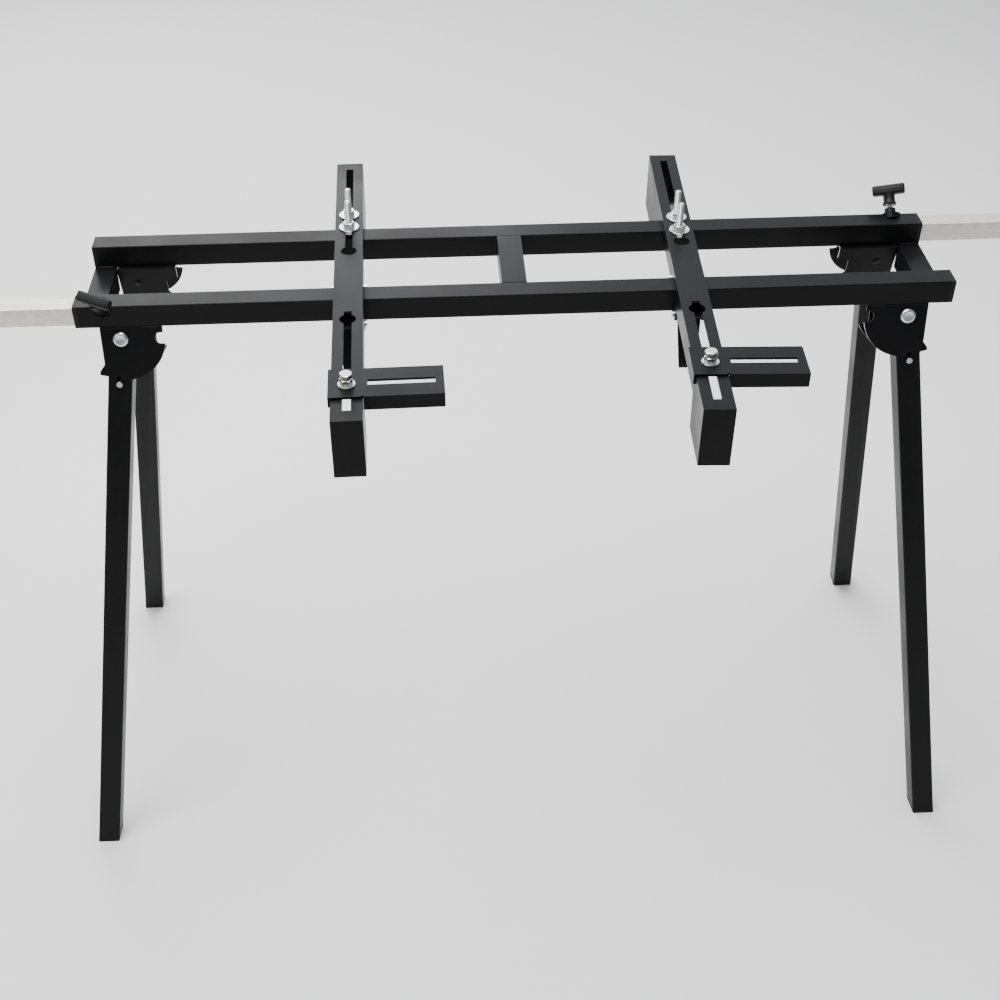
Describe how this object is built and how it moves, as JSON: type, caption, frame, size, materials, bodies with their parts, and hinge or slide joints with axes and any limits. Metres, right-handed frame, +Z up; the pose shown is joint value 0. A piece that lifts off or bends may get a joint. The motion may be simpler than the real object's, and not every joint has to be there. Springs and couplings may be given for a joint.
{
  "type": "folding mitre saw stand",
  "caption": "Folding mitre saw stand: parallel rails on splayed folding legs, sliding slotted saw arms with clamp levers, and extending roller supports.",
  "frame": {"origin": "on the floor, under the middle of the frame: midway between the rails and between the leg pivots", "axes": "+Z up, X along the rails with +X to the right of the picture, and the front rail on the -Y side"},
  "size_m": [1.5472, 0.6183, 0.913],
  "materials": {
    "black_powder_coat": "semi-gloss",
    "black_plastic": "matte",
    "black_rubber": "matte",
    "galvanised_steel": "satin",
    "zinc_plated_steel": "satin"
  },
  "bodies": {
    "frame": {"front_rail": "black_powder_coat", "rear_rail": "black_powder_coat", "centre_crosspiece": "black_powder_coat", "left_end_bar": "black_powder_coat", "right_end_bar": "black_powder_coat", "rail_end_plugs": "black_plastic", "extension_guides": "black_plastic", "rail_weld_nuts": "black_powder_coat", "pivot_rivets": "zinc_plated_steel", "front_left_bracket": "black_powder_coat", "front_right_bracket": "black_powder_coat", "rear_left_bracket": "black_powder_coat", "rear_right_bracket": "black_powder_coat"},
    "front_left_leg": {"front_left_leg": "black_powder_coat", "front_left_foot": "black_rubber"},
    "front_left_catch": {"front_left_catch": "zinc_plated_steel"},
    "front_right_leg": {"front_right_leg": "black_powder_coat", "front_right_foot": "black_rubber"},
    "front_right_catch": {"front_right_catch": "zinc_plated_steel"},
    "rear_left_leg": {"rear_left_leg": "black_powder_coat", "rear_left_foot": "black_rubber"},
    "rear_left_catch": {"rear_left_catch": "zinc_plated_steel"},
    "rear_right_leg": {"rear_right_leg": "black_powder_coat", "rear_right_foot": "black_rubber"},
    "rear_right_catch": {"rear_right_catch": "zinc_plated_steel"},
    "left_extension": {"left_extension_tube": "galvanised_steel", "left_upright": "black_powder_coat"},
    "left_rail_screw": {"left_rail_screw": "zinc_plated_steel"},
    "left_rail_knob": {"left_rail_knob": "black_plastic"},
    "left_height_screw": {"left_height_screw": "zinc_plated_steel"},
    "left_height_knob": {"left_height_knob": "black_plastic"},
    "left_roller_support": {"left_roller_post": "galvanised_steel", "left_roller_fork": "black_powder_coat", "left_roller_axle": "zinc_plated_steel"},
    "left_roller": {"left_roller": "zinc_plated_steel"},
    "left_arm": {"left_arm": "black_powder_coat", "left_clamp_pins": "zinc_plated_steel"},
    "left_clamp_lever": {"left_clamp_lever": "black_powder_coat"},
    "left_angle_bracket": {"left_angle_bracket": "black_powder_coat", "left_bracket_bolt": "zinc_plated_steel"},
    "left_inner_saw_bolt": {"left_inner_saw_bolt": "zinc_plated_steel"},
    "left_outer_saw_bolt": {"left_outer_saw_bolt": "zinc_plated_steel"},
    "right_extension": {"right_extension_tube": "galvanised_steel", "right_upright": "black_powder_coat"},
    "right_rail_screw": {"right_rail_screw": "zinc_plated_steel"},
    "right_rail_knob": {"right_rail_knob": "black_plastic"},
    "right_height_screw": {"right_height_screw": "zinc_plated_steel"},
    "right_height_knob": {"right_height_knob": "black_plastic"},
    "right_roller_support": {"right_roller_post": "galvanised_steel", "right_roller_fork": "black_powder_coat", "right_roller_axle": "zinc_plated_steel"},
    "right_roller": {"right_roller": "zinc_plated_steel"},
    "right_arm": {"right_arm": "black_powder_coat", "right_clamp_pins": "zinc_plated_steel"},
    "right_clamp_lever": {"right_clamp_lever": "black_powder_coat"},
    "right_angle_bracket": {"right_angle_bracket": "black_powder_coat", "right_bracket_bolt": "zinc_plated_steel"},
    "right_inner_saw_bolt": {"right_inner_saw_bolt": "zinc_plated_steel"},
    "right_outer_saw_bolt": {"right_outer_saw_bolt": "zinc_plated_steel"}
  },
  "joints": [
    {"name": "front_left_leg_fold", "type": "hinge", "parent": "frame", "child": "front_left_leg", "pos_m": [-0.4865, -0.07409, 0.75328], "axis": [0, -0.9744, 0.225], "range_deg": [0, 98]},
    {"name": "front_left_catch_slide", "type": "slide", "parent": "front_left_leg", "child": "front_left_catch", "axis": [0.1444, 0.2226, 0.9642], "range_m": [0, 0.0075]},
    {"name": "front_right_leg_fold", "type": "hinge", "parent": "frame", "child": "front_right_leg", "pos_m": [0.4865, -0.07409, 0.75328], "axis": [0, 0.9744, -0.225], "range_deg": [0, 87.5]},
    {"name": "front_right_catch_slide", "type": "slide", "parent": "front_right_leg", "child": "front_right_catch", "axis": [0.1444, -0.2226, -0.9642], "range_m": [-0.0075, 0]},
    {"name": "rear_left_leg_fold", "type": "hinge", "parent": "frame", "child": "rear_left_leg", "pos_m": [-0.4865, 0.07409, 0.75328], "axis": [0, -0.9744, -0.225], "range_deg": [0, 98]},
    {"name": "rear_left_catch_slide", "type": "slide", "parent": "rear_left_leg", "child": "rear_left_catch", "axis": [0.1444, -0.2226, 0.9642], "range_m": [0, 0.0075]},
    {"name": "rear_right_leg_fold", "type": "hinge", "parent": "frame", "child": "rear_right_leg", "pos_m": [0.4865, 0.07409, 0.75328], "axis": [0, 0.9744, 0.225], "range_deg": [0, 87.5]},
    {"name": "rear_right_catch_slide", "type": "slide", "parent": "rear_right_leg", "child": "rear_right_catch", "axis": [0.1444, 0.2226, -0.9642], "range_m": [-0.0075, 0]},
    {"name": "left_extension_slide", "type": "slide", "parent": "frame", "child": "left_extension", "axis": [-1, 0, 0], "range_m": [-0.155, 0.45]},
    {"name": "left_rail_screw_travel", "type": "slide", "parent": "frame", "child": "left_rail_screw", "axis": [0, -0.7071, 0.7071], "range_m": [0, 0.0025]},
    {"name": "left_rail_knob_turn", "type": "hinge", "parent": "left_rail_screw", "child": "left_rail_knob", "pos_m": [-0.505, -0.08577, 0.79927], "axis": [0, -0.7071, 0.7071], "range_deg": [0, 720.5]},
    {"name": "left_height_screw_travel", "type": "slide", "parent": "left_extension", "child": "left_height_screw", "axis": [-1, 0, 0], "range_m": [0, 0.0025]},
    {"name": "left_height_knob_turn", "type": "hinge", "parent": "left_height_screw", "child": "left_height_knob", "pos_m": [-0.7328, -0.0735, 0.85], "axis": [-1, 0, 0], "range_deg": [0, 720.5]},
    {"name": "left_roller_height", "type": "slide", "parent": "left_extension", "child": "left_roller_support", "axis": [0, 0, 1], "range_m": [0, 0.07]},
    {"name": "left_roller_spin", "type": "hinge", "parent": "left_roller_support", "child": "left_roller", "pos_m": [-0.72, -0.0735, 0.897], "axis": [0, 1, 0], "continuous": true},
    {"name": "left_arm_slide", "type": "slide", "parent": "frame", "child": "left_arm", "axis": [1, 0, 0], "range_m": [-0.1945, 0.1605]},
    {"name": "left_clamp_lever_turn", "type": "hinge", "parent": "left_arm", "child": "left_clamp_lever", "pos_m": [-0.20363, -0.09748, 0.772], "axis": [0.9998, 0.0192, 0], "range_deg": [-60, 0]},
    {"name": "left_angle_bracket_slide", "type": "slide", "parent": "left_arm", "child": "left_angle_bracket", "axis": [-0.0192, 0.9998, 0], "range_m": [-0.035, 0.14]},
    {"name": "left_inner_saw_bolt_slide", "type": "slide", "parent": "left_arm", "child": "left_inner_saw_bolt", "axis": [-0.0192, 0.9998, 0], "range_m": [-0.045, 0.005]},
    {"name": "left_outer_saw_bolt_slide", "type": "slide", "parent": "left_arm", "child": "left_outer_saw_bolt", "axis": [-0.0192, 0.9998, 0], "range_m": [-0.005, 0.113]},
    {"name": "right_extension_slide", "type": "slide", "parent": "frame", "child": "right_extension", "axis": [1, 0, 0], "range_m": [-0.155, 0.45]},
    {"name": "right_rail_screw_travel", "type": "slide", "parent": "frame", "child": "right_rail_screw", "axis": [0, 0.7071, 0.7071], "range_m": [0, 0.0025]},
    {"name": "right_rail_knob_turn", "type": "hinge", "parent": "right_rail_screw", "child": "right_rail_knob", "pos_m": [0.505, 0.08577, 0.79927], "axis": [0, 0.7071, 0.7071], "range_deg": [0, 720.5]},
    {"name": "right_height_screw_travel", "type": "slide", "parent": "right_extension", "child": "right_height_screw", "axis": [1, 0, 0], "range_m": [0, 0.0025]},
    {"name": "right_height_knob_turn", "type": "hinge", "parent": "right_height_screw", "child": "right_height_knob", "pos_m": [0.7328, 0.0735, 0.85], "axis": [1, 0, 0], "range_deg": [0, 720.5]},
    {"name": "right_roller_height", "type": "slide", "parent": "right_extension", "child": "right_roller_support", "axis": [0, 0, 1], "range_m": [0, 0.07]},
    {"name": "right_roller_spin", "type": "hinge", "parent": "right_roller_support", "child": "right_roller", "pos_m": [0.72, 0.0735, 0.897], "axis": [0, 1, 0], "continuous": true},
    {"name": "right_arm_slide", "type": "slide", "parent": "frame", "child": "right_arm", "axis": [1, 0, 0], "range_m": [-0.1563, 0.1837]},
    {"name": "right_clamp_lever_turn", "type": "hinge", "parent": "right_arm", "child": "right_clamp_lever", "pos_m": [0.21239, -0.09742, 0.772], "axis": [0.9992, -0.0401, 0], "range_deg": [-60, 0]},
    {"name": "right_angle_bracket_slide", "type": "slide", "parent": "right_arm", "child": "right_angle_bracket", "axis": [0.0401, 0.9992, 0], "range_m": [-0.057, 0.117]},
    {"name": "right_inner_saw_bolt_slide", "type": "slide", "parent": "right_arm", "child": "right_inner_saw_bolt", "axis": [0.0401, 0.9992, 0], "range_m": [-0.015, 0.006]},
    {"name": "right_outer_saw_bolt_slide", "type": "slide", "parent": "right_arm", "child": "right_outer_saw_bolt", "axis": [0.0401, 0.9992, 0], "range_m": [-0.006, 0.144]}
  ],
  "couplings": [
    {"joint": "left_rail_knob_turn", "follows": "left_rail_screw_travel", "rad_per_m": 5026.5},
    {"joint": "left_height_knob_turn", "follows": "left_height_screw_travel", "rad_per_m": 5026.5},
    {"joint": "right_rail_knob_turn", "follows": "right_rail_screw_travel", "rad_per_m": 5026.5},
    {"joint": "right_height_knob_turn", "follows": "right_height_screw_travel", "rad_per_m": 5026.5}
  ]
}
